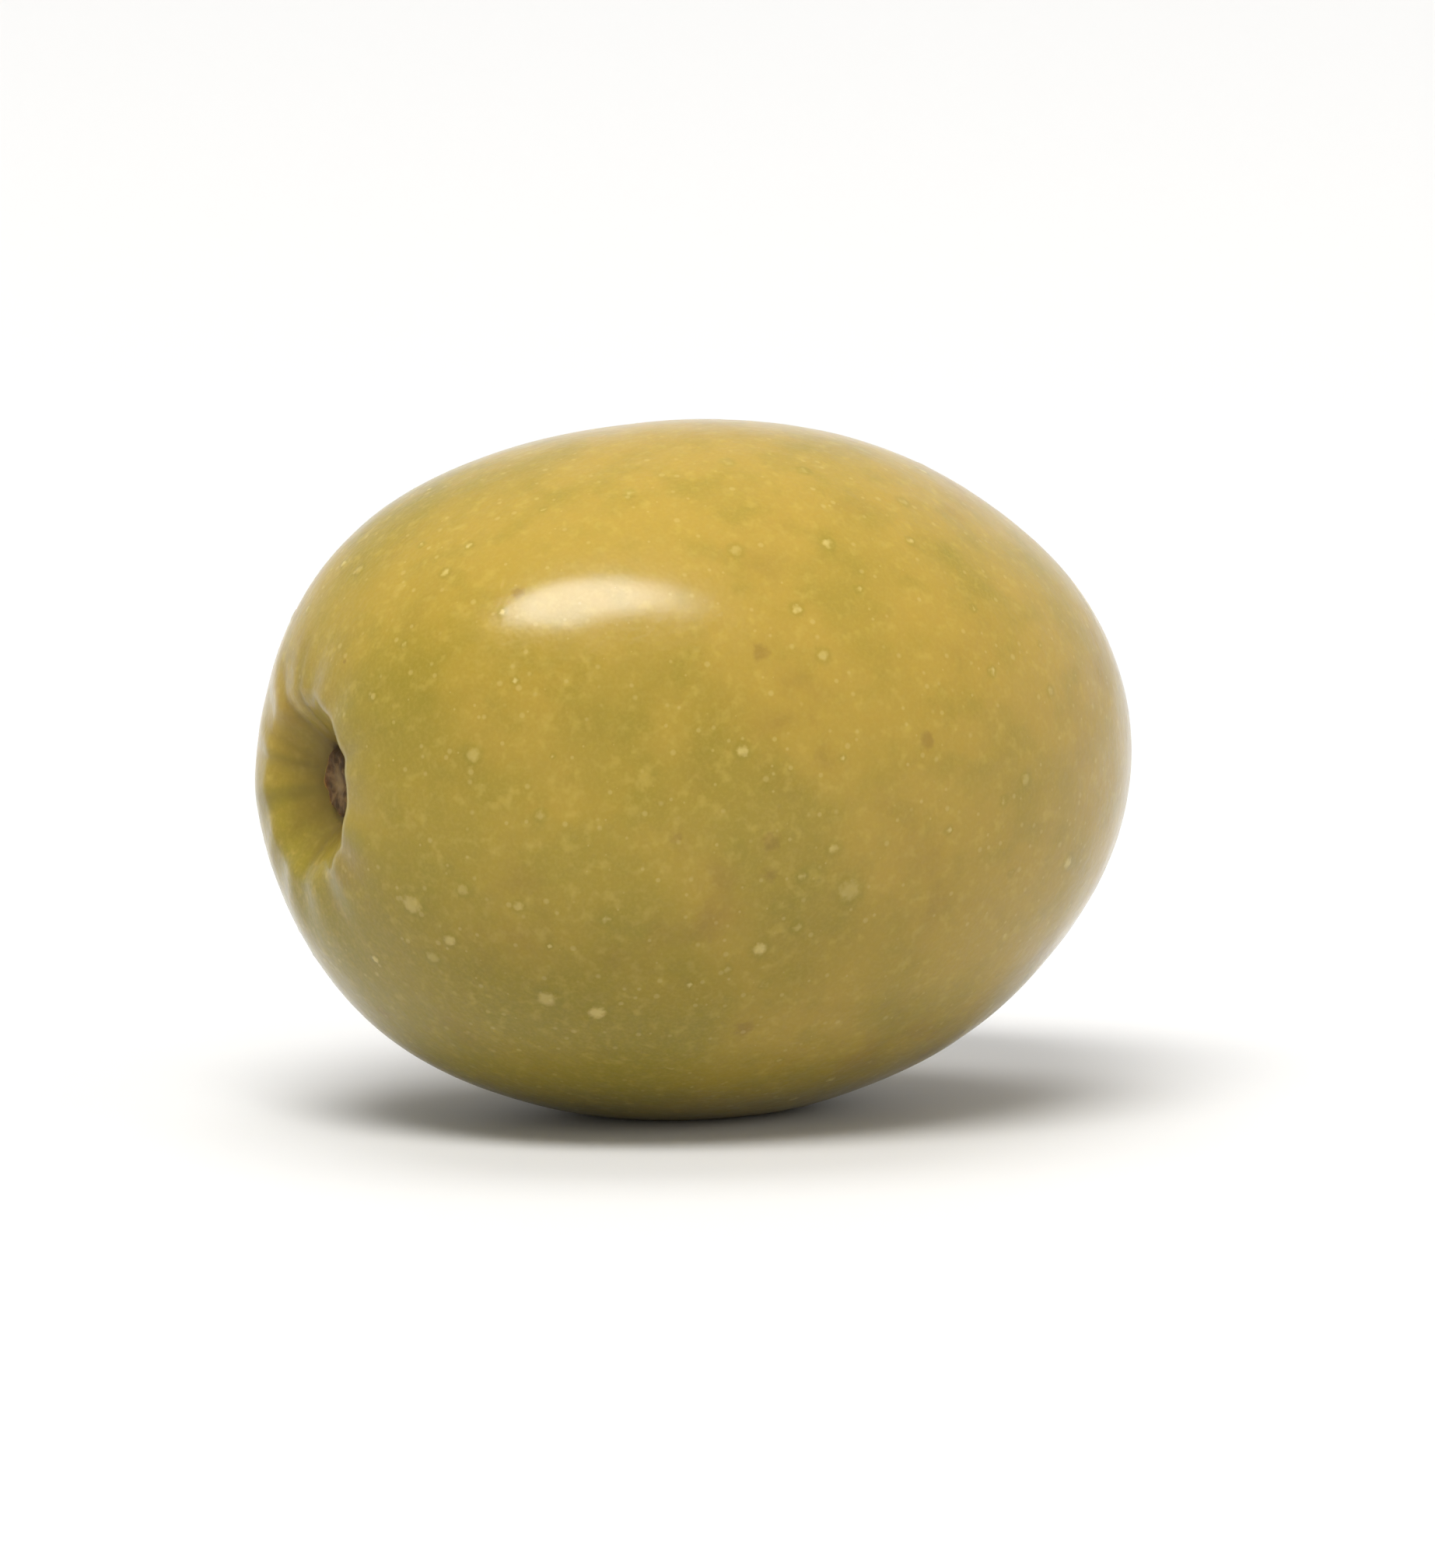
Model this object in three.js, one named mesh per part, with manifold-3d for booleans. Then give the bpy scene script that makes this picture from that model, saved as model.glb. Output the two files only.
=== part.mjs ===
// A large green table olive, whole and unpitted, lying on its side. The fruit is one solid.
// Its axis lies along X, with the stem end at -X and the apex at +X. Z is up, and the origin is at
// the middle of its underside. All lengths are in millimetres.

import * as THREE from "three";
import { mergeVertices } from "three/addons/utils/BufferGeometryUtils.js";
import Module from "manifold-3d";

// Size of the fruit
const LENGTH = 34;
const WIDTH = 27.2;
const HEIGHT = 26.9;

// Outline: the stem end is blunt, and the fruit narrows towards its apex
const BLUNTNESS = 0.3;
const TAPER = 0.045;
const BEND_SIDEWAYS = 0.55;
const BEND_UP = 0.25;

// Stem end: the round hollow where the stalk sat, its raised shoulder, and the woody scar in it. The hollow's
// floor and the scar's top are level out to the given shares of their radii.
const HOLLOW_RADIUS = 3.8;
const HOLLOW_DEPTH = 1.75;
const HOLLOW_FLOOR = 0.3;
const SHOULDER_HEIGHT = 0.25;
const SHOULDER_RADIUS = 5.2;
const SHOULDER_SPREAD = 2.2;
const SCAR_RADIUS = 1.35;
const SCAR_HEIGHT = 0.28;
const SCAR_TOP = 0.75;
const SCAR_DIMPLE_RADIUS = 0.7;
const SCAR_DIMPLE_DEPTH = 0.2;

// Apex: a low rise with the dot that the flower's style left
const APEX_RISE = 0.3;
const APEX_RISE_RADIUS = 2.4;
const STYLE_DOT_HEIGHT = 0.2;
const STYLE_DOT_RADIUS = 0.55;

// Lobes that fade from the shoulder towards the middle, and fine folds round the hollow. fade says where the
// lobes begin and where they are full, along the axis from -1 at the apex to 1 at the stem end.
const LOBES = { count: 5, height: 0.16, turn: 0.7, fade: [-0.1, 0.9] };
const FOLDS = { count: 12, height: 0.05, turn: 2.1, radius: 4.1, spread: 1.4 };

// Slow unevenness of the skin: waves round the fruit and along it
const WAVES = [
  { height: 0.1, round: 2, along: 1, turn: 0.4 },
  { height: 0.09, round: 3, along: 2, turn: 2.2 },
  { height: 0.06, round: 4, along: 3, turn: 4.1 },
  { height: 0.05, round: 6, along: 4, turn: 1.0 },
];

// Shallow dents pressed into the skin. from is the angle from the apex, and round the angle about the axis
// from the +Y side towards the top, in degrees.
const DENTS = [
  { from: 84, round: 236, radius: 4.8, depth: 0.22 },
  { from: 118, round: 158, radius: 4.2, depth: 0.18 },
  { from: 58, round: 122, radius: 4.6, depth: 0.2 },
  { from: 66, round: 20, radius: 5.2, depth: 0.22 },
  { from: 112, round: 330, radius: 3.8, depth: 0.16 },
];

// Underside: how much of the belly is pressed flat where the fruit rests
const FLAT_DEPTH = 0.32;

// Mesh: rings from apex to stem, closer together at both ends, and points round each ring
const RINGS = 60;
const POINTS_ROUND = 72;
const RING_CROWDING = 0.74;

const OLIVE_GREEN = 0xb39a45;

const radians = THREE.MathUtils.degToRad;
const smoothstep = THREE.MathUtils.smoothstep;
const bell = (distance, spread) => Math.exp(-((distance / spread) ** 2));

// The egg-like outline before any relief. t runs from 0 at the apex to PI at the stem end.
function bodyPoint(t, round) {
  const along = Math.cos(t);
  const power = 2 / (2 + BLUNTNESS * smoothstep(-along, 0, 1));
  const reach = Math.sin(t) ** power * (1 - TAPER * along);
  return new THREE.Vector3(
    (LENGTH / 2) * Math.sign(along) * Math.abs(along) ** power,
    (WIDTH / 2) * reach * Math.cos(round),
    (HEIGHT / 2) * reach * Math.sin(round),
  );
}

// The direction that relief stands out in: the normal of the plain ellipsoid.
function outward(point) {
  return new THREE.Vector3(
    point.x / LENGTH ** 2,
    point.y / WIDTH ** 2,
    point.z / HEIGHT ** 2,
  ).normalize();
}

// A dent's middle, on the body.
function dentCentre(dent) {
  return bodyPoint(radians(dent.from), radians(dent.round));
}

// Height of the skin's relief at a place, dents counted as negative.
function relief(t, round, point) {
  const girth = Math.sin(t);
  const nearStem = smoothstep(-Math.cos(t), ...LOBES.fade);
  let height = LOBES.height * nearStem * girth * Math.cos(LOBES.count * round + LOBES.turn);
  for (const wave of WAVES) {
    const phase = wave.round * round + wave.turn;
    height += wave.height * girth ** 2 * Math.cos(phase) * Math.cos(wave.along * t);
  }
  for (const dent of DENTS)
    height -= dent.depth * bell(point.distanceTo(dentCentre(dent)), dent.radius);
  return height;
}

// How far the stem end stands out along the axis at a distance from it: shoulder, folds, hollow and scar.
function stemEnd(distance, round) {
  const hollow = 1 - smoothstep(distance, HOLLOW_FLOOR * HOLLOW_RADIUS, HOLLOW_RADIUS);
  const scar = 1 - smoothstep(distance, SCAR_TOP * SCAR_RADIUS, SCAR_RADIUS);
  const folds = FOLDS.height * Math.cos(FOLDS.count * round + FOLDS.turn);
  return (
    SHOULDER_HEIGHT * bell(distance - SHOULDER_RADIUS, SHOULDER_SPREAD) +
    folds * bell(distance - FOLDS.radius, FOLDS.spread) -
    HOLLOW_DEPTH * hollow +
    SCAR_HEIGHT * scar -
    SCAR_DIMPLE_DEPTH * bell(distance, SCAR_DIMPLE_RADIUS)
  );
}

// How far the apex stands out along the axis at a distance from it.
function apexEnd(distance) {
  return APEX_RISE * bell(distance, APEX_RISE_RADIUS) + STYLE_DOT_HEIGHT * bell(distance, STYLE_DOT_RADIUS);
}

// A point of the finished skin.
function skinPoint(t, round) {
  const point = bodyPoint(t, round);
  const distance = Math.hypot(point.y, point.z);
  const height = relief(t, round, point);
  const out = outward(point);
  const lean = (point.x / (LENGTH / 2)) ** 2;
  point.x += t > Math.PI / 2 ? -stemEnd(distance, round) : apexEnd(distance);
  point.y += BEND_SIDEWAYS * lean;
  point.z += BEND_UP * lean;
  return point.addScaledVector(out, height);
}

// Angle from the apex of a ring, with rings crowded towards both ends.
function ringAngle(ring) {
  const share = ring / RINGS;
  return Math.PI * share - (RING_CROWDING * Math.sin(2 * Math.PI * share)) / 2;
}

// The closed skin: one point at each end, and rings between them.
function skinGeometry() {
  const positions = [...skinPoint(0, 0)];
  for (let ring = 1; ring < RINGS; ring++)
    for (let k = 0; k < POINTS_ROUND; k++)
      positions.push(...skinPoint(ringAngle(ring), (2 * Math.PI * k) / POINTS_ROUND));
  positions.push(...skinPoint(Math.PI, 0));

  const stem = positions.length / 3 - 1;
  const at = (ring, k) => 1 + (ring - 1) * POINTS_ROUND + (k % POINTS_ROUND);
  const faces = [];
  for (let k = 0; k < POINTS_ROUND; k++) {
    faces.push(0, at(1, k), at(1, k + 1));
    faces.push(stem, at(RINGS - 1, k + 1), at(RINGS - 1, k));
    for (let ring = 1; ring < RINGS - 1; ring++) {
      faces.push(at(ring, k), at(ring + 1, k), at(ring + 1, k + 1));
      faces.push(at(ring, k), at(ring + 1, k + 1), at(ring, k + 1));
    }
  }
  const geometry = new THREE.BufferGeometry();
  geometry.setAttribute("position", new THREE.Float32BufferAttribute(positions, 3));
  geometry.setIndex(faces);
  return geometry;
}

const wasm = await Module();
wasm.setup();

// A closed geometry as a manifold-3d solid.
function toSolid(geometry) {
  const bare = geometry.clone();
  bare.deleteAttribute("normal");
  bare.deleteAttribute("uv");
  const merged = mergeVertices(bare);
  return new wasm.Manifold(
    new wasm.Mesh({
      numProp: 3,
      vertProperties: merged.attributes.position.array,
      triVerts: new Uint32Array(merged.index.array),
    }),
  );
}

// A manifold-3d solid as a geometry.
function toGeometry(solid) {
  const mesh = solid.getMesh();
  const geometry = new THREE.BufferGeometry();
  geometry.setAttribute("position", new THREE.Float32BufferAttribute(mesh.vertProperties, 3));
  geometry.setIndex([...mesh.triVerts]);
  geometry.computeVertexNormals();
  return geometry;
}

// The fruit set down with the flat spot of its belly on the plane z = 0, and centred over the origin.
function restingOlive() {
  const skin = skinGeometry();
  skin.computeBoundingBox();
  const { min, max } = skin.boundingBox;
  skin.translate(-(min.x + max.x) / 2, -(min.y + max.y) / 2, -min.z - FLAT_DEPTH);
  const below = new THREE.BoxGeometry(2 * LENGTH, 2 * WIDTH, HEIGHT);
  below.translate(0, 0, -HEIGHT / 2);
  return toGeometry(toSolid(skin).subtract(toSolid(below)));
}

const olive = new THREE.Mesh(
  restingOlive(),
  new THREE.MeshStandardMaterial({ color: OLIVE_GREEN, roughness: 0.3, metalness: 0 }),
);
olive.name = "olive";

const part = new THREE.Group();
part.add(olive);

export default part;
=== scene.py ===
# A large green table olive, lying on its side on a pale floor in soft studio light.
import math
from functools import cached_property

import bpy
import numpy as np
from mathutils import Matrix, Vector, noise


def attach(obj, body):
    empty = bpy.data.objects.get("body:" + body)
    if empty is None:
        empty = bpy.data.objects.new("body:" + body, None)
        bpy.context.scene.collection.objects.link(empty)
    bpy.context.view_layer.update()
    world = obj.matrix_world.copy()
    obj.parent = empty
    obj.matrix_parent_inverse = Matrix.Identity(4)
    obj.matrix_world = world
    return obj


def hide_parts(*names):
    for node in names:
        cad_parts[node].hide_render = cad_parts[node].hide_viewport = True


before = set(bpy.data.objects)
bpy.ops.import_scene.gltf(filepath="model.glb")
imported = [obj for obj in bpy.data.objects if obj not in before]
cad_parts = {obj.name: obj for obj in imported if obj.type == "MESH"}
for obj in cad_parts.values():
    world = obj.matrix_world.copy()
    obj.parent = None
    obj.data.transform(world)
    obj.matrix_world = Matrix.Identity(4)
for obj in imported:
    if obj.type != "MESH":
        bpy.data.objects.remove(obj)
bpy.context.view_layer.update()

MM = 0.001

# Size and outline of the fruit, as in the part's source. Its axis lies along X, stem end at -X.
LENGTH = 34 * MM
WIDTH = 27.2 * MM
HEIGHT = 26.9 * MM
BLUNTNESS = 0.3
TAPER = 0.045
BEND_SIDEWAYS = 0.55 * MM
BEND_UP = 0.25 * MM
FLAT_DEPTH = 0.32 * MM

# Rounding of the flat spot's edge, which the part's source leaves sharp
FLAT_EDGE_ROUNDING = 0.1 * MM

# Stem end: hollow, shoulder and woody scar. The hollow's floor and the scar's top are level out to the
# given shares of their radii.
HOLLOW_RADIUS = 3.8 * MM
HOLLOW_DEPTH = 1.75 * MM
HOLLOW_FLOOR = 0.3
SHOULDER_HEIGHT = 0.25 * MM
SHOULDER_RADIUS = 5.2 * MM
SHOULDER_SPREAD = 2.2 * MM
SCAR_RADIUS = 1.35 * MM
SCAR_HEIGHT = 0.28 * MM
SCAR_TOP = 0.75
SCAR_DIMPLE_RADIUS = 0.7 * MM
SCAR_DIMPLE_DEPTH = 0.2 * MM

# Apex: low rise and style dot
APEX_RISE = 0.3 * MM
APEX_RISE_RADIUS = 2.4 * MM
STYLE_DOT_HEIGHT = 0.2 * MM
STYLE_DOT_RADIUS = 0.55 * MM

# Relief that the part's source has too. fade says where the lobes begin and where they are full, along the
# axis from -1 at the apex to 1 at the stem end. A dent's middle is given by its angles in degrees, from the
# apex and round the axis from the +Y side towards the top.
LOBES = dict(count=5, height=0.16 * MM, turn=0.7, fade=(-0.1, 0.9))
FOLDS = dict(count=12, height=0.05 * MM, turn=2.1, radius=4.1 * MM, spread=1.4 * MM)
WAVES = [
    dict(height=0.1 * MM, round=2, along=1, turn=0.4),
    dict(height=0.09 * MM, round=3, along=2, turn=2.2),
    dict(height=0.06 * MM, round=4, along=3, turn=4.1),
    dict(height=0.05 * MM, round=6, along=4, turn=1.0),
]
DENTS = [
    dict(from_apex=84, round=236, radius=4.8 * MM, depth=0.22 * MM),
    dict(from_apex=118, round=158, radius=4.2 * MM, depth=0.18 * MM),
    dict(from_apex=58, round=122, radius=4.6 * MM, depth=0.2 * MM),
    dict(from_apex=66, round=20, radius=5.2 * MM, depth=0.22 * MM),
    dict(from_apex=112, round=330, radius=3.8 * MM, depth=0.16 * MM),
]

# Slow unevenness of the skin. From here on, the relief is finer than the part's source has.
UNDULATIONS = [
    dict(size=4.2 * MM, height=0.035 * MM, seed=3.1),
    dict(size=1.7 * MM, height=0.012 * MM, seed=7.7),
]

# Creases that run into the stem hollow. Each stands off an even spacing by up to scatter, a share of that
# spacing, and turns by up to curl, in radians per metre. It comes in between the two distances of start, and
# goes out between the full share of its reach and its reach.
CREASES = dict(
    count=14,
    depth=0.12 * MM,
    width=0.2 * MM,
    scatter=0.4,
    curl=40,
    start=(1.3 * MM, 2.6 * MM),
    full=0.4,
    reach=(3.4 * MM, 7 * MM),
    strength=(0.3, 1),
    seed=4,
)

# Streaks of colour that run out over the shoulder
STREAKS = dict(tightness=4.5, run=14 * MM, seed=6.4)

# The scar's uneven outline, the groove round it, and the grain of its wood, which is full out to a share of
# the scar's radius
SCAR_OUTLINE = [
    dict(share=0.09, round=2, turn=1.0),
    dict(share=0.06, round=3, turn=4.2),
    dict(share=0.025, round=7, turn=2.3),
]
SCAR_GROOVE = dict(radius=1.45 * MM, spread=0.18 * MM, depth=0.14 * MM)
SCAR_GRAINS = [
    dict(size=0.4 * MM, height=0.08 * MM, seed=5.2),
    dict(size=0.17 * MM, height=0.04 * MM, seed=9.6),
]
SCAR_GRAIN_SHARE = 0.8

# Pale specks: the large ones on the flank that the photograph shows, at angles like the dents', and smaller
# ones scattered off the two ends, between the angles from the apex whose cosines SCATTER_RANGE gives. A
# speck's relief is full and ends at the two distances of SPECK_SLOPE, in radii of that speck.
SHOWN_SPECKS = [
    dict(from_apex=152, round=211, radius=0.4 * MM),
    dict(from_apex=146, round=224, radius=0.28 * MM),
    dict(from_apex=128, round=220, radius=0.4 * MM),
    dict(from_apex=121, round=220, radius=0.36 * MM),
    dict(from_apex=103, round=203, radius=0.3 * MM),
    dict(from_apex=92, round=193, radius=0.48 * MM),
]
SCATTERED_SPECKS = 150
SCATTERED_SPECK_RADII = (0.1 * MM, 0.28 * MM)
SCATTER_RANGE = (-0.93, 0.95)
SPECK_GAP = 1.3 * MM
SPECK_HEIGHT = 0.025 * MM
SPECK_SLOPE = (0.3, 1.2)
SPECK_DISTANCE_LIMIT = 4
SPECK_SEED = 11

# Mesh of the skin: rings from apex to stem, closer together at both ends, and points round each ring
RINGS = 300
POINTS_ROUND = 320
RING_CROWDING = 0.4

# Distance in metres that a point is given from the end of the fruit that it isn't at
FAR_AWAY = 1

# Colours of the skin, in linear light
# GOLDEN and KHAKI are painted light and shade: golden on top, khaki below. SHADED_GREEN is also painted
# shade on the underside, besides its clouds, streaks and speck rings.
GOLDEN = (0.352, 0.234, 0.036)
KHAKI = (0.305, 0.214, 0.021)
SHADED_GREEN = (0.2, 0.162, 0.014)
BRIGHT_FLECK = (0.45, 0.33, 0.065)
BRUISE = (0.17, 0.092, 0.015)
PALE_SPECK = (0.52, 0.4, 0.13)
# Brown of the painted shade in the stem hollow and its creases, and of the stain round the scar
SHADE_AND_STAIN_BROWN = (0.13, 0.085, 0.014)
SCAR_BROWN = (0.16, 0.095, 0.038)
SCAR_DARK = (0.045, 0.026, 0.011)
SCAR_PALE = (0.26, 0.17, 0.075)
STYLE_BROWN = (0.09, 0.052, 0.018)

# The material's values take three forms. Clouds and dots have a size and a seed. A fade runs from start at
# low to end at high, and start is 0 and end 1 where they aren't given. An edge is clouds that shift a
# distance by up to half their amount either way, so that its fade is uneven.

# Ground colour: golden towards the top and khaki and darker green towards the underside, as painted light
# and shade, and clouds from broad to fine
PAINTED_LIGHT_DIRECTION = (0.5, -0.2, 0.84)
PAINTED_LIGHT_EDGE = dict(size=9 * MM, seed=1, amount=26 * MM)
PAINTED_SHADE_KHAKI_FADE = dict(low=22 * MM, high=-2 * MM)
UNDERSIDE_PAINTED_SHADE_FADE = dict(low=9 * MM, high=-3 * MM, end=0.7)
COLOUR_CLOUDS = [
    (SHADED_GREEN, dict(size=7 * MM, seed=2), dict(low=0.45, high=0.75, end=0.5)),
    (SHADED_GREEN, dict(size=1.6 * MM, seed=3, detail=4), dict(low=0.45, high=0.75, end=0.35)),
    (BRIGHT_FLECK, dict(size=0.5 * MM, seed=4), dict(low=0.5, high=0.8, end=0.4)),
    (BRIGHT_FLECK, dict(size=0.16 * MM, seed=20), dict(low=0.4, high=0.7, end=0.12)),
]

# Faint bruises, where broad clouds and ragged ones meet, and small brown flecks
BROAD_BRUISES = dict(size=6 * MM, seed=5)
BROAD_BRUISE_FADE = dict(low=0.48, high=0.72)
RAGGED_BRUISES = dict(size=1.8 * MM, seed=18, detail=5)
RAGGED_BRUISE_FADE = dict(low=0.4, high=0.66)
BRUISE_STRENGTH = 0.35
FLECKS = dict(size=3.4 * MM, seed=16)
FLECK_EDGE = dict(size=0.3 * MM, seed=17, amount=0.16)
FLECK_FADE = dict(low=0.16, high=0.06, end=0.4)

# Stem end, by distance from the axis in millimetres
STREAK_FADE = dict(low=0, high=0.6)
STREAK_REACH = dict(low=9, high=3, end=0.5)
# Painted shade darkens the stem hollow and its creases
HOLLOW_EDGE = dict(size=1 * MM, seed=6, amount=1.2)
HOLLOW_PAINTED_SHADE_FADE = dict(low=3.6, high=1.6, end=0.6)
CREASE_PAINTED_SHADE_STRENGTH = 0.45
SCAR_EDGE = dict(size=0.6 * MM, seed=7, amount=0.5)
SCAR_FADE = dict(low=1.6, high=1.3)
SCAR_STAIN = dict(low=2.1, high=1.5, end=0.6)
SCAR_DARK_RING = dict(low=0.7, high=1.2, end=0.8)
SCAR_PALE_MIDDLE = dict(low=0.7, high=0.1, end=0.6)
WOOD = dict(size=0.4 * MM, seed=8, detail=5)
WOOD_FADE = dict(low=0.35, high=0.7)

# Apex, by distance from the axis in millimetres
APEX_EDGE = dict(size=0.4 * MM, seed=9, amount=0.3)
APEX_HALO = dict(low=1.8, high=0.4, end=0.45)
APEX_DOT = dict(low=0.5, high=0.3)

# Pale specks, by distance from the middle of each in its radii, and finer dots. Both keep off the ends.
SPECK_EDGE = dict(size=0.22 * MM, seed=10, amount=0.9)
SPECK_FADE = dict(low=1.15, high=0.45)
SPECK_RING = dict(low=2.0, high=1.1, end=0.3)
SPECK_PALENESS = dict(size=2.2 * MM, seed=19)
SPECK_PALENESS_FADE = dict(low=0.35, high=0.65, start=0.35, end=0.8)
FINE_DOTS = dict(size=0.55 * MM, seed=11)
FINE_DOT_FADE = dict(low=0.3, high=0.12)
FINE_DOT_STRENGTH = 0.32
OFF_STEM = dict(low=3, high=5)
OFF_APEX = dict(low=0.8, high=1.6)

# Fine unevenness that the mesh leaves out, with its height in millimetres
FINE_BUMPS = dict(size=1.3 * MM, seed=12, detail=3, roughness=0.65)
FINE_BUMP_HEIGHT = 0.065

# Gloss: clouds of roughness, duller in the hollow and on the scar, and a wet coat that is thin there
GLOSS_CLOUDS = dict(size=2.5 * MM, seed=15)
ROUGHNESS_FADE = dict(low=0.3, high=0.7, start=0.3, end=0.42)
SCAR_DULLNESS = 0.25
HOLLOW_DULLNESS = dict(low=4.5, high=2.5, end=0.2)
COAT_FADE = dict(low=0, high=0.4, start=0.75, end=0.05)
SKIN_SETTINGS = {
    "IOR": 1.42,
    "Specular IOR Level": 0.15,
    "Subsurface Weight": 0.5,
    "Subsurface Radius": (1.0, 0.62, 0.18),
    "Subsurface Scale": 1.6 * MM,
    "Coat Roughness": 0.12,
    "Coat IOR": 1.35,
}

# How far one seed moves a texture along each axis, in millimetres
TEXTURE_STEPS = (71, 37, 53)

# Middle of the clouds' values, which run from 0 to 1
CLOUD_MIDDLE = 0.5

# Sockets of the Mix node's colours
MIX_A = 6
MIX_B = 7
MIX_RESULT = 2

# Camera, about as high above level and as far off as the photograph's, and turned so that the stem end
# shows. From the side, the fruit's length would fill FRAME_SHARE of the picture's width.
VIEW_AZIMUTH = -26
VIEW_ELEVATION = 8
VIEW_DISTANCE = 0.885
LOOK_AT = (0, 0, 12.5 * MM)
FRAME_SHARE = 0.62
SENSOR_WIDTH = 36

# Floor
FLOOR_RADIUS = 4
FLOOR_CORNERS = 64
FLOOR_COLOUR = (0.6, 0.595, 0.585)
FLOOR_ROUGHNESS = 0.6

# Lights. A soft box fades from its middle outwards, by shares of its width and length. The world fades from
# the horizon, at height 0, towards straight up, at height 1.
SOFT_BOXES = [
    dict(name="key_light", place=(-0.65, -0.75, 1.95), size=(2.2, 1.05), power=55, mirrored=True),
    dict(name="fill_light", place=(0.9, -1.5, 0.9), size=(1.2, 1.0), power=5, mirrored=False),
    dict(name="top_light", place=(0.3, 0.7, 2.2), size=(2.4, 1.6), power=25, mirrored=False),
]
SOFT_BOX_MIDDLE = (0.5, 0.5, 0)
SOFT_BOX_FADE = dict(low=0.5, high=0.2, end=2.5)
WORLD_COLOUR = (1, 1, 1)
WORLD_FADE = dict(low=0, high=0.6, start=0.85, end=0.45)


def smoothstep(value, low, high):
    share = np.clip((value - low) / (high - low), 0, 1)
    return share * share * (3 - 2 * share)


def bell(distance, spread):
    return np.exp(-((distance / spread) ** 2))


def smooth_floor(height, rounding):
    """The greater of height and 0, with the corner between them rounded."""
    near = np.clip(1 - np.abs(height) / rounding, 0, 1)
    return np.maximum(height, 0) + rounding * near**2 / 4


def clouds(points, size, seed):
    """Smooth noise from about -1 to 1 at each point, with features of about the given size."""
    shift = Vector((seed, 2 * seed, 3 * seed))
    return np.array([noise.noise(Vector(point) / size + shift) for point in points])


def body_point(t, turn):
    """The outline before any relief. t runs from 0 at the apex to pi at the stem end."""
    along = np.cos(t)
    power = 2 / (2 + BLUNTNESS * smoothstep(-along, 0, 1))
    reach = np.sin(t) ** power * (1 - TAPER * along)
    return np.stack(
        [
            LENGTH / 2 * np.sign(along) * np.abs(along) ** power,
            WIDTH / 2 * reach * np.cos(turn),
            HEIGHT / 2 * reach * np.sin(turn),
        ],
        axis=-1,
    )


def middle_of(mark):
    """The middle of a dent or of a speck, on the body."""
    return body_point(math.radians(mark["from_apex"]), math.radians(mark["round"]))


def outward(points):
    """The direction that relief stands out in: the normal of the plain ellipsoid."""
    normal = points / np.array([LENGTH, WIDTH, HEIGHT]) ** 2
    return normal / np.linalg.norm(normal, axis=-1, keepdims=True)


def relief(t, turn, points):
    """Height of the lobes, waves and dents."""
    girth = np.sin(t)
    near_stem = smoothstep(-np.cos(t), *LOBES["fade"])
    height = LOBES["height"] * near_stem * girth * np.cos(LOBES["count"] * turn + LOBES["turn"])
    for wave in WAVES:
        phase = wave["round"] * turn + wave["turn"]
        height += wave["height"] * girth**2 * np.cos(phase) * np.cos(wave["along"] * t)
    for dent in DENTS:
        height -= dent["depth"] * bell(np.linalg.norm(points - middle_of(dent), axis=-1), dent["radius"])
    return height


def scar_distance(distance, turn):
    """Distance from the axis, scaled so that the scar's uneven outline lies at one value all round."""
    stretch = sum(wave["share"] * np.cos(wave["round"] * turn + wave["turn"]) for wave in SCAR_OUTLINE)
    return distance * (1 + stretch)


def stem_end(distance, turn):
    """How far the stem end stands out along the axis."""
    hollow = 1 - smoothstep(distance, HOLLOW_FLOOR * HOLLOW_RADIUS, HOLLOW_RADIUS)
    scar = 1 - smoothstep(scar_distance(distance, turn), SCAR_TOP * SCAR_RADIUS, SCAR_RADIUS)
    folds = FOLDS["height"] * np.cos(FOLDS["count"] * turn + FOLDS["turn"])
    return (
        SHOULDER_HEIGHT * bell(distance - SHOULDER_RADIUS, SHOULDER_SPREAD)
        + folds * bell(distance - FOLDS["radius"], FOLDS["spread"])
        - HOLLOW_DEPTH * hollow
        + SCAR_HEIGHT * scar
        - SCAR_DIMPLE_DEPTH * bell(distance, SCAR_DIMPLE_RADIUS)
    )


def apex_end(distance):
    """How far the apex stands out along the axis."""
    rise = APEX_RISE * bell(distance, APEX_RISE_RADIUS)
    return rise + STYLE_DOT_HEIGHT * bell(distance, STYLE_DOT_RADIUS)


def creases(distance, turn):
    """Depth from 0 to 1 of the creases that run into the stem hollow."""
    draw = np.random.default_rng(CREASES["seed"])
    depth = np.zeros_like(distance)
    for k in range(CREASES["count"]):
        place = k + draw.uniform(-CREASES["scatter"], CREASES["scatter"])
        angle = 2 * math.pi * place / CREASES["count"]
        curl = draw.uniform(-CREASES["curl"], CREASES["curl"])
        reach = draw.uniform(*CREASES["reach"])
        strength = draw.uniform(*CREASES["strength"])
        aside = 2 * distance * np.abs(np.sin((turn - angle - curl * distance) / 2))
        groove = bell(aside, CREASES["width"] * (1 + distance / reach))
        span = smoothstep(distance, *CREASES["start"])
        span *= 1 - smoothstep(distance, CREASES["full"] * reach, reach)
        depth = np.maximum(depth, strength * groove * span)
    return depth


def streaks(distance, turn):
    """Dark and pale streaks that run out from the stem hollow, from about -1 to 1."""
    tight = STREAKS["tightness"]
    places = np.stack([tight * np.cos(turn), tight * np.sin(turn), distance / STREAKS["run"]], axis=-1)
    return clouds(places, 1, STREAKS["seed"])


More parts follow.
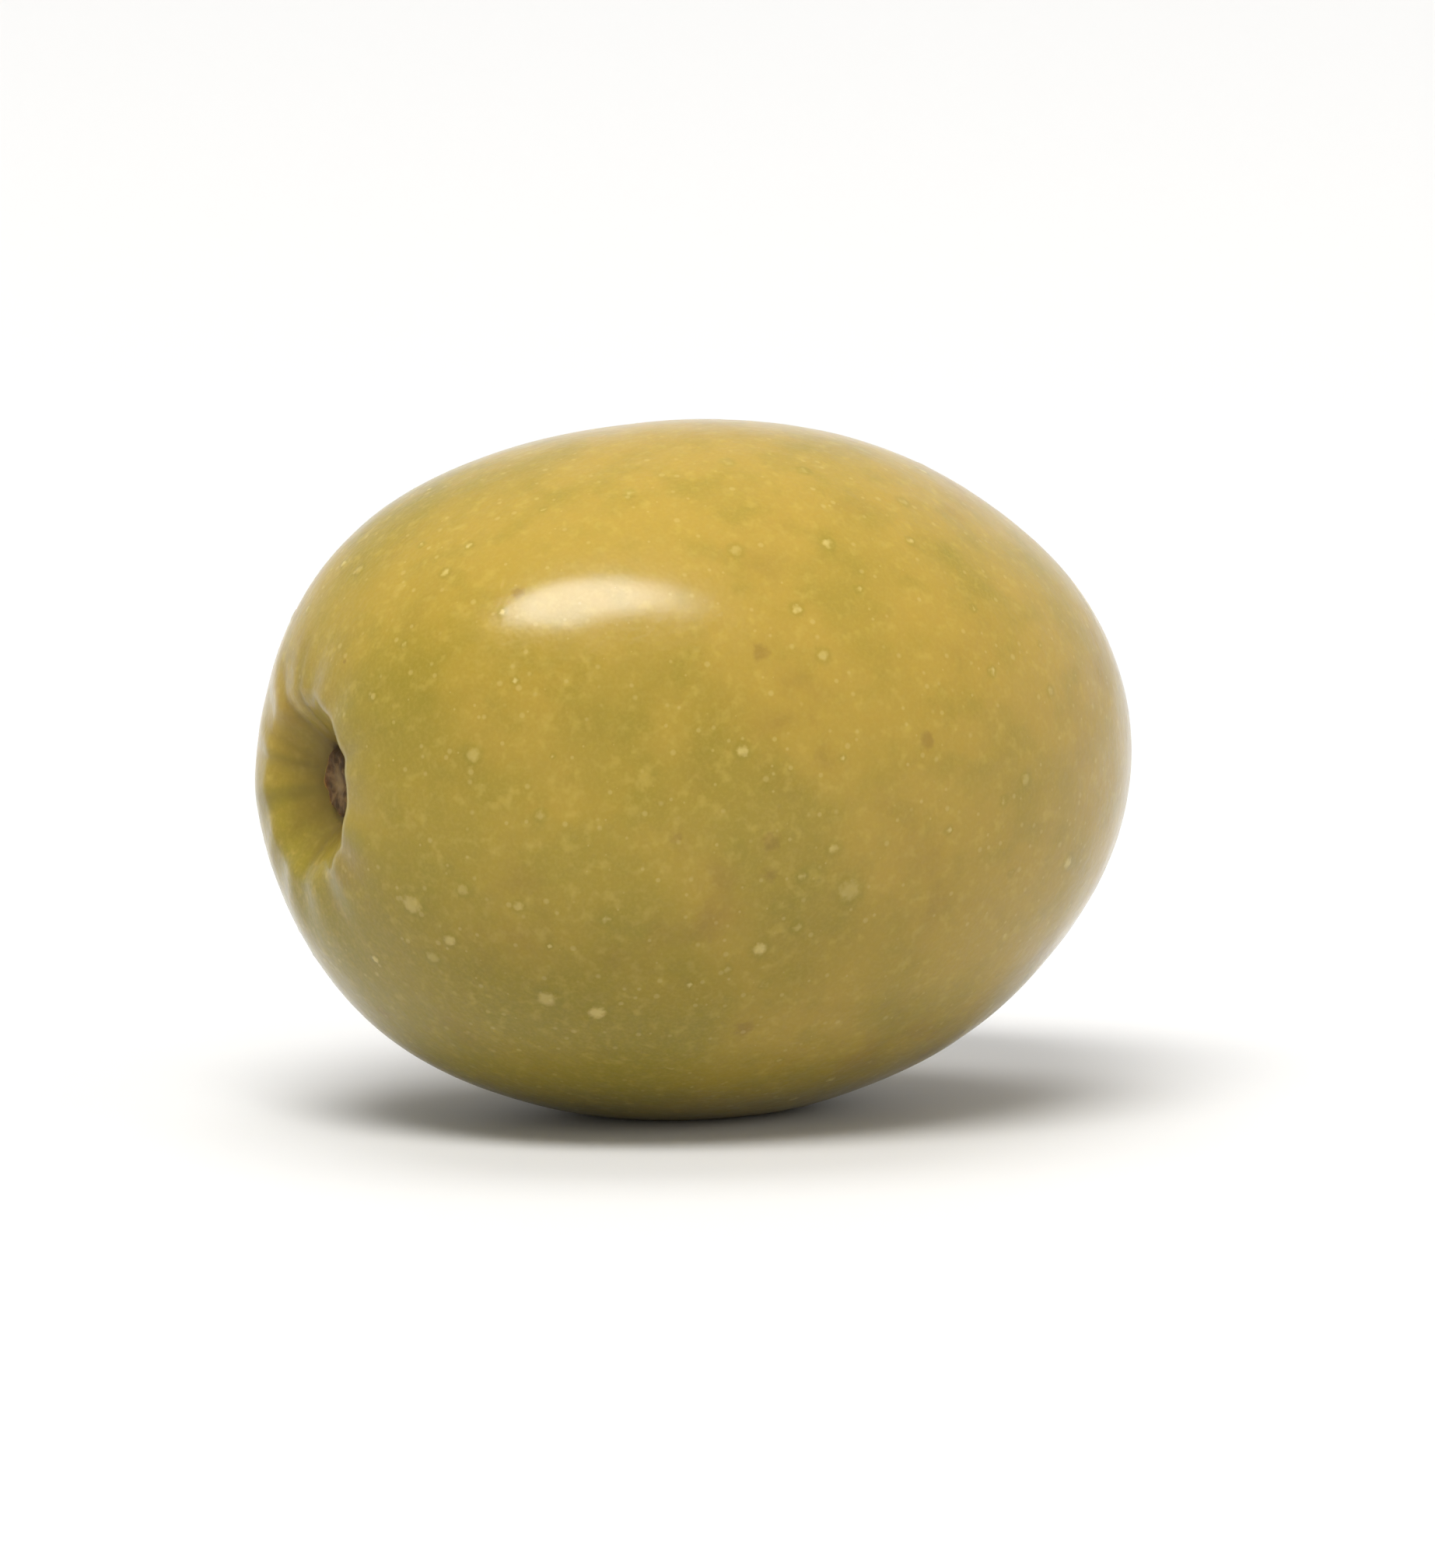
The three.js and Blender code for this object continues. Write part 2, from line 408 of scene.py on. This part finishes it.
def speck_places():
    """Centres on the body and radii of the pale specks."""
    centres = [middle_of(speck) for speck in SHOWN_SPECKS]
    radii = [speck["radius"] for speck in SHOWN_SPECKS]
    draw = np.random.default_rng(SPECK_SEED)
    while len(centres) < len(SHOWN_SPECKS) + SCATTERED_SPECKS:
        t = math.acos(draw.uniform(*SCATTER_RANGE))
        centre = body_point(t, draw.uniform(0, 2 * math.pi))
        if min(np.linalg.norm(centre - other) for other in centres) > SPECK_GAP:
            centres.append(centre)
            radii.append(draw.uniform(*SCATTERED_SPECK_RADII))
    return centres, radii


def speck_distance(points):
    """Distance to the nearest speck, in that speck's radii, up to a limit."""
    nearest = np.full(len(points), float(SPECK_DISTANCE_LIMIT))
    for centre, radius in zip(*speck_places()):
        nearest = np.minimum(nearest, np.linalg.norm(points - centre, axis=-1) / radius)
    return nearest


def fine_relief(points, at_stem, from_scar, crease, specks):
    """Height of the relief that only this script has."""
    height = SPECK_HEIGHT * (1 - smoothstep(specks, *SPECK_SLOPE))
    for wave in UNDULATIONS:
        height += wave["height"] * clouds(points, wave["size"], wave["seed"])
    height -= CREASES["depth"] * crease
    on_scar = np.where(at_stem, 1 - smoothstep(from_scar, SCAR_GRAIN_SHARE * SCAR_RADIUS, SCAR_RADIUS), 0)
    for grain in SCAR_GRAINS:
        height += grain["height"] * on_scar * clouds(points, grain["size"], grain["seed"])
    groove = bell(from_scar - SCAR_GROOVE["radius"], SCAR_GROOVE["spread"])
    height -= SCAR_GROOVE["depth"] * np.where(at_stem, groove, 0)
    return height


def skin_points(t, turn):
    """Points of the skin, and what its material needs to know at each of them."""
    points = body_point(t, turn)
    out = outward(points)
    distance = np.linalg.norm(points[:, 1:], axis=-1)
    from_scar = scar_distance(distance, turn)
    at_stem = t > math.pi / 2
    crease = np.where(at_stem, creases(distance, turn), 0)
    specks = speck_distance(points)

    # The relief of the part's source, which alone says where the fruit is set down
    lean = (points[:, 0] / (LENGTH / 2)) ** 2
    placed = points + out * relief(t, turn, points)[:, None]
    placed[:, 0] += np.where(at_stem, -stem_end(distance, turn), apex_end(distance))
    placed[:, 1] += BEND_SIDEWAYS * lean
    placed[:, 2] += BEND_UP * lean
    middle = (placed.min(axis=0) + placed.max(axis=0)) / 2
    ground = placed[:, 2].min() + FLAT_DEPTH

    placed += out * fine_relief(points, at_stem, from_scar, crease, specks)[:, None]
    placed -= np.array([middle[0], middle[1], ground])
    placed[:, 2] = smooth_floor(placed[:, 2], FLAT_EDGE_ROUNDING)
    traits = {
        "speck": specks,
        "crease": crease,
        "streak": np.where(at_stem, streaks(distance, turn), 0),
        "stem_distance": np.where(at_stem, distance, FAR_AWAY) / MM,
        "scar_distance": np.where(at_stem, from_scar, FAR_AWAY) / MM,
        "apex_distance": np.where(at_stem, FAR_AWAY, distance) / MM,
    }
    return placed, traits


def skin_faces():
    """Triangles round the point at each end, and quads between the rings."""
    last_ring = 1 + (RINGS - 2) * POINTS_ROUND
    stem = last_ring + POINTS_ROUND
    faces = []
    for k in range(POINTS_ROUND):
        after = (k + 1) % POINTS_ROUND
        faces.append((0, 1 + k, 1 + after))
        for here in range(1, last_ring, POINTS_ROUND):
            below = here + POINTS_ROUND
            faces.append((here + k, below + k, below + after, here + after))
        faces.append((stem, last_ring + after, last_ring + k))
    return faces


def build_skin():
    """The closed skin, with one point at each end and rings between them."""
    share = np.arange(1, RINGS) / RINGS
    ring_angles = math.pi * share - RING_CROWDING * np.sin(2 * math.pi * share) / 2
    turns = 2 * math.pi * np.arange(POINTS_ROUND) / POINTS_ROUND
    t, turn = (grid.ravel() for grid in np.meshgrid(ring_angles, turns, indexing="ij"))
    points, traits = skin_points(np.concatenate([[0], t, [math.pi]]), np.concatenate([[0], turn, [0]]))

    mesh = bpy.data.meshes.new("olive_skin")
    mesh.from_pydata(points.tolist(), [], skin_faces())
    mesh.shade_smooth()
    for name, values in traits.items():
        attribute = mesh.attributes.new(name, "FLOAT", "POINT")
        attribute.data.foreach_set("value", values.astype(np.float32))
    mesh.update()
    skin = bpy.data.objects.new("olive_skin", mesh)
    bpy.context.scene.collection.objects.link(skin)
    return skin


class Nodes:
    """Adds nodes to the node tree of a material, a lamp or the world."""

    def __init__(self, owner):
        owner.use_nodes = True
        self.tree = owner.node_tree

    @cached_property
    def place(self):
        """Where a point of the surface lies, in metres."""
        return self.add("ShaderNodeTexCoord").outputs["Object"]

    def add(self, kind, settings=None, inputs=None):
        node = self.tree.nodes.new(kind)
        for name, value in (settings or {}).items():
            setattr(node, name, value)
        for name, value in (inputs or {}).items():
            self.feed(node.inputs[name], value)
        return node

    def feed(self, socket, value):
        """Links an output to a socket, or sets the socket to a plain value."""
        if isinstance(value, bpy.types.NodeSocket):
            self.tree.links.new(value, socket)
        elif socket.type == "RGBA":
            socket.default_value = (*value, 1)
        else:
            socket.default_value = value

    def trait(self, name):
        """What the mesh tells about a place."""
        return self.add("ShaderNodeAttribute", {"attribute_name": name}).outputs["Fac"]

    def shifted(self, seed):
        """The place, moved so that two textures of one kind differ."""
        shift = tuple(seed * step * MM for step in TEXTURE_STEPS)
        return self.vector_math("ADD", self.place, shift).outputs["Vector"]

    def clouds(self, size, seed, detail=2.0, roughness=0.5):
        """Smooth noise from 0 to 1, with features of about the given size."""
        inputs = {"Vector": self.shifted(seed), "Scale": 1 / size, "Detail": detail, "Roughness": roughness}
        return self.add("ShaderNodeTexNoise", inputs=inputs).outputs["Fac"]

    def dots(self, size, seed):
        """Distance to the nearest of scattered points, divided by a random number from 0 to 1."""
        node = self.add("ShaderNodeTexVoronoi", inputs={"Vector": self.shifted(seed), "Scale": 1 / size})
        radius = self.add("ShaderNodeSeparateColor", inputs={"Color": node.outputs["Color"]}).outputs["Red"]
        return self.math("DIVIDE", node.outputs["Distance"], radius)

    def math(self, operation, a, b):
        node = self.add("ShaderNodeMath", {"operation": operation})
        self.feed(node.inputs[0], a)
        self.feed(node.inputs[1], b)
        return node.outputs["Value"]

    def vector_math(self, operation, a, b):
        node = self.add("ShaderNodeVectorMath", {"operation": operation})
        self.feed(node.inputs[0], a)
        self.feed(node.inputs[1], b)
        return node

    def plus(self, a, b):
        return self.math("ADD", a, b)

    def times(self, a, b):
        return self.math("MULTIPLY", a, b)

    def ramp(self, value, low, high, start=0.0, end=1.0):
        """Runs smoothly from start at low to end at high."""
        settings = {"interpolation_type": "SMOOTHSTEP"}
        inputs = {"Value": value, "From Min": low, "From Max": high, "To Min": start, "To Max": end}
        return self.add("ShaderNodeMapRange", settings, inputs).outputs["Result"]

    def wobble(self, value, size, seed, amount):
        """The value, shifted up and down by clouds."""
        shift = self.times(self.math("SUBTRACT", self.clouds(size, seed), CLOUD_MIDDLE), amount)
        return self.plus(value, shift)

    def mix(self, factor, a, b):
        """Colour a where the factor is 0, and b where it is 1."""
        node = self.add("ShaderNodeMix", {"data_type": "RGBA"}, {"Factor": factor})
        self.feed(node.inputs[MIX_A], a)
        self.feed(node.inputs[MIX_B], b)
        return node.outputs[MIX_RESULT]


class SkinNodes(Nodes):
    """The nodes of the skin's material, with the distances that several of its colours go by."""

    def __init__(self, owner):
        super().__init__(owner)
        self.stem = self.trait("stem_distance")
        self.apex = self.wobble(self.trait("apex_distance"), **APEX_EDGE)
        self.scar_edge = self.wobble(self.trait("scar_distance"), **SCAR_EDGE)
        self.on_scar = self.ramp(self.scar_edge, **SCAR_FADE)

    def ground_colour(self):
        """Painted light and shade, golden towards the top and greener and darker towards the underside, and
        clouds of tone.
        """
        towards_painted_light = self.vector_math("DOT_PRODUCT", self.place, PAINTED_LIGHT_DIRECTION).outputs["Value"]
        towards_painted_light = self.wobble(towards_painted_light, **PAINTED_LIGHT_EDGE)
        # Painted light and shade: golden on top, then khaki and a darker green towards the underside
        colour = self.mix(self.ramp(towards_painted_light, **PAINTED_SHADE_KHAKI_FADE), GOLDEN, KHAKI)
        colour = self.mix(self.ramp(towards_painted_light, **UNDERSIDE_PAINTED_SHADE_FADE), colour, SHADED_GREEN)
        for tint, texture, fade in COLOUR_CLOUDS:
            colour = self.mix(self.ramp(self.clouds(**texture), **fade), colour, tint)
        return colour

    def with_blemishes(self, colour):
        """Broad faint bruises, and a few small brown flecks."""
        broad = self.ramp(self.clouds(**BROAD_BRUISES), **BROAD_BRUISE_FADE)
        ragged = self.ramp(self.clouds(**RAGGED_BRUISES), **RAGGED_BRUISE_FADE)
        bruise = self.times(self.times(broad, ragged), BRUISE_STRENGTH)
        colour = self.mix(bruise, colour, BRUISE)
        fleck = self.wobble(self.dots(**FLECKS), **FLECK_EDGE)
        return self.mix(self.ramp(fleck, **FLECK_FADE), colour, BRUISE)

    def with_stem_end(self, colour):
        """Streaks over the shoulder, painted shade in the hollow and its creases, and a stain round the
        scar.
        """
        streak = self.ramp(self.trait("streak"), **STREAK_FADE)
        streak = self.times(streak, self.ramp(self.stem, **STREAK_REACH))
        colour = self.mix(streak, colour, SHADED_GREEN)
        # Painted shade in the hollow and in its creases
        hollow = self.ramp(self.wobble(self.stem, **HOLLOW_EDGE), **HOLLOW_PAINTED_SHADE_FADE)
        colour = self.mix(hollow, colour, SHADE_AND_STAIN_BROWN)
        crease = self.times(self.trait("crease"), CREASE_PAINTED_SHADE_STRENGTH)
        colour = self.mix(crease, colour, SHADE_AND_STAIN_BROWN)
        colour = self.mix(self.ramp(self.scar_edge, **SCAR_STAIN), colour, SHADE_AND_STAIN_BROWN)
        return self.mix(self.on_scar, colour, self.wood())

    def wood(self):
        """The scar's wood: mottled, with a dark ring and a paler middle."""
        colour = self.mix(self.ramp(self.clouds(**WOOD), **WOOD_FADE), SCAR_DARK, SCAR_BROWN)
        colour = self.mix(self.ramp(self.scar_edge, **SCAR_DARK_RING), colour, SCAR_DARK)
        return self.mix(self.ramp(self.scar_edge, **SCAR_PALE_MIDDLE), colour, SCAR_PALE)

    def with_apex(self, colour):
        """A brown dot in a faint brown halo."""
        colour = self.mix(self.ramp(self.apex, **APEX_HALO), colour, BRUISE)
        return self.mix(self.ramp(self.apex, **APEX_DOT), colour, STYLE_BROWN)

    def with_specks(self, colour):
        """Fine pale dots, and pale specks, each in a faint greener ring."""
        off_ends = self.times(self.ramp(self.stem, **OFF_STEM), self.ramp(self.apex, **OFF_APEX))
        speck = self.wobble(self.trait("speck"), **SPECK_EDGE)
        ring = self.times(self.ramp(speck, **SPECK_RING), off_ends)
        pale = self.times(self.ramp(speck, **SPECK_FADE), off_ends)
        pale = self.times(pale, self.ramp(self.clouds(**SPECK_PALENESS), **SPECK_PALENESS_FADE))
        fine = self.times(self.ramp(self.dots(**FINE_DOTS), **FINE_DOT_FADE), off_ends)
        colour = self.mix(ring, colour, SHADED_GREEN)
        colour = self.mix(self.times(fine, FINE_DOT_STRENGTH), colour, PALE_SPECK)
        return self.mix(pale, colour, PALE_SPECK)

    def bumps(self):
        """The skin's normal with its fine unevenness."""
        height = self.times(self.clouds(**FINE_BUMPS), FINE_BUMP_HEIGHT)
        return self.add("ShaderNodeBump", inputs={"Height": height, "Distance": MM}).outputs["Normal"]

    def gloss(self):
        """Roughness of the skin, and how much of the wet coat lies on it."""
        dull = self.times(self.on_scar, SCAR_DULLNESS)
        dull = self.plus(dull, self.ramp(self.stem, **HOLLOW_DULLNESS))
        roughness = self.ramp(self.clouds(**GLOSS_CLOUDS), **ROUGHNESS_FADE)
        return self.plus(roughness, dull), self.ramp(dull, **COAT_FADE)


def skin_material():
    """Wet, faintly translucent skin."""
    material = bpy.data.materials.new("olive_skin")
    nodes = SkinNodes(material)
    colour = nodes.ground_colour()
    colour = nodes.with_blemishes(colour)
    colour = nodes.with_stem_end(colour)
    colour = nodes.with_apex(colour)
    colour = nodes.with_specks(colour)
    roughness, coat = nodes.gloss()
    settings = {
        "Base Color": colour,
        "Roughness": roughness,
        "Normal": nodes.bumps(),
        "Coat Weight": coat,
        **SKIN_SETTINGS,
    }
    shader = nodes.tree.nodes["Principled BSDF"]
    for name, value in settings.items():
        nodes.feed(shader.inputs[name], value)
    return material


def build_floor():
    """A wide round floor."""
    angles = [2 * math.pi * k / FLOOR_CORNERS for k in range(FLOOR_CORNERS)]
    rim = [(FLOOR_RADIUS * math.cos(angle), FLOOR_RADIUS * math.sin(angle), 0) for angle in angles]
    mesh = bpy.data.meshes.new("floor")
    mesh.from_pydata(rim, [], [tuple(range(FLOOR_CORNERS))])
    material = bpy.data.materials.new("floor")
    nodes = Nodes(material)
    shader = nodes.tree.nodes["Principled BSDF"]
    nodes.feed(shader.inputs["Base Color"], FLOOR_COLOUR)
    nodes.feed(shader.inputs["Roughness"], FLOOR_ROUGHNESS)
    mesh.materials.append(material)
    floor = bpy.data.objects.new("floor", mesh)
    bpy.context.scene.collection.objects.link(floor)
    return floor


def add_soft_box(name, place, size, power, mirrored):
    """A lamp that faces the fruit. mirrored says whether it shows as a highlight."""
    lamp = bpy.data.lights.new(name, "AREA")
    lamp.shape = "RECTANGLE"
    lamp.size, lamp.size_y = size
    lamp.energy = power
    nodes = Nodes(lamp)
    spot = nodes.add("ShaderNodeNewGeometry").outputs["Parametric"]
    from_middle = nodes.vector_math("DISTANCE", spot, SOFT_BOX_MIDDLE).outputs["Value"]
    nodes.feed(nodes.tree.nodes["Emission"].inputs["Strength"], nodes.ramp(from_middle, **SOFT_BOX_FADE))
    box = bpy.data.objects.new(name, lamp)
    box.visible_glossy = mirrored
    box.location = place
    box.rotation_euler = (Vector(LOOK_AT) - Vector(place)).to_track_quat("-Z", "Y").to_euler()
    bpy.context.scene.collection.objects.link(box)


def add_world():
    """White light from all sides, bright at the horizon like the floor, so that the skin mirrors no edge."""
    world = bpy.data.worlds.new("studio")
    nodes = Nodes(world)
    direction = nodes.add("ShaderNodeTexCoord").outputs["Generated"]
    height = nodes.add("ShaderNodeSeparateXYZ", inputs={"Vector": direction}).outputs["Z"]
    background = nodes.tree.nodes["Background"]
    nodes.feed(background.inputs["Color"], WORLD_COLOUR)
    nodes.feed(background.inputs["Strength"], nodes.ramp(height, **WORLD_FADE))
    bpy.context.scene.world = world


def add_camera():
    """The camera, aimed at about the middle of the fruit."""
    azimuth = math.radians(VIEW_AZIMUTH)
    elevation = math.radians(VIEW_ELEVATION)
    back = Vector(
        (
            math.sin(azimuth) * math.cos(elevation),
            -math.cos(azimuth) * math.cos(elevation),
            math.sin(elevation),
        )
    )
    data = bpy.data.cameras.new("camera")
    data.sensor_fit = "HORIZONTAL"
    data.sensor_width = SENSOR_WIDTH
    data.lens = SENSOR_WIDTH * VIEW_DISTANCE * FRAME_SHARE / LENGTH
    camera = bpy.data.objects.new("camera", data)
    camera.location = Vector(LOOK_AT) + VIEW_DISTANCE * back
    camera.rotation_euler = (-back).to_track_quat("-Z", "Y").to_euler()
    bpy.context.scene.collection.objects.link(camera)
    bpy.context.scene.camera = camera


olive = build_skin()
olive.data.materials.append(skin_material())
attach(olive, "root")
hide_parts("olive")

build_floor()
add_world()
for soft_box in SOFT_BOXES:
    add_soft_box(**soft_box)
add_camera()
bpy.context.scene.view_settings.view_transform = "Standard"
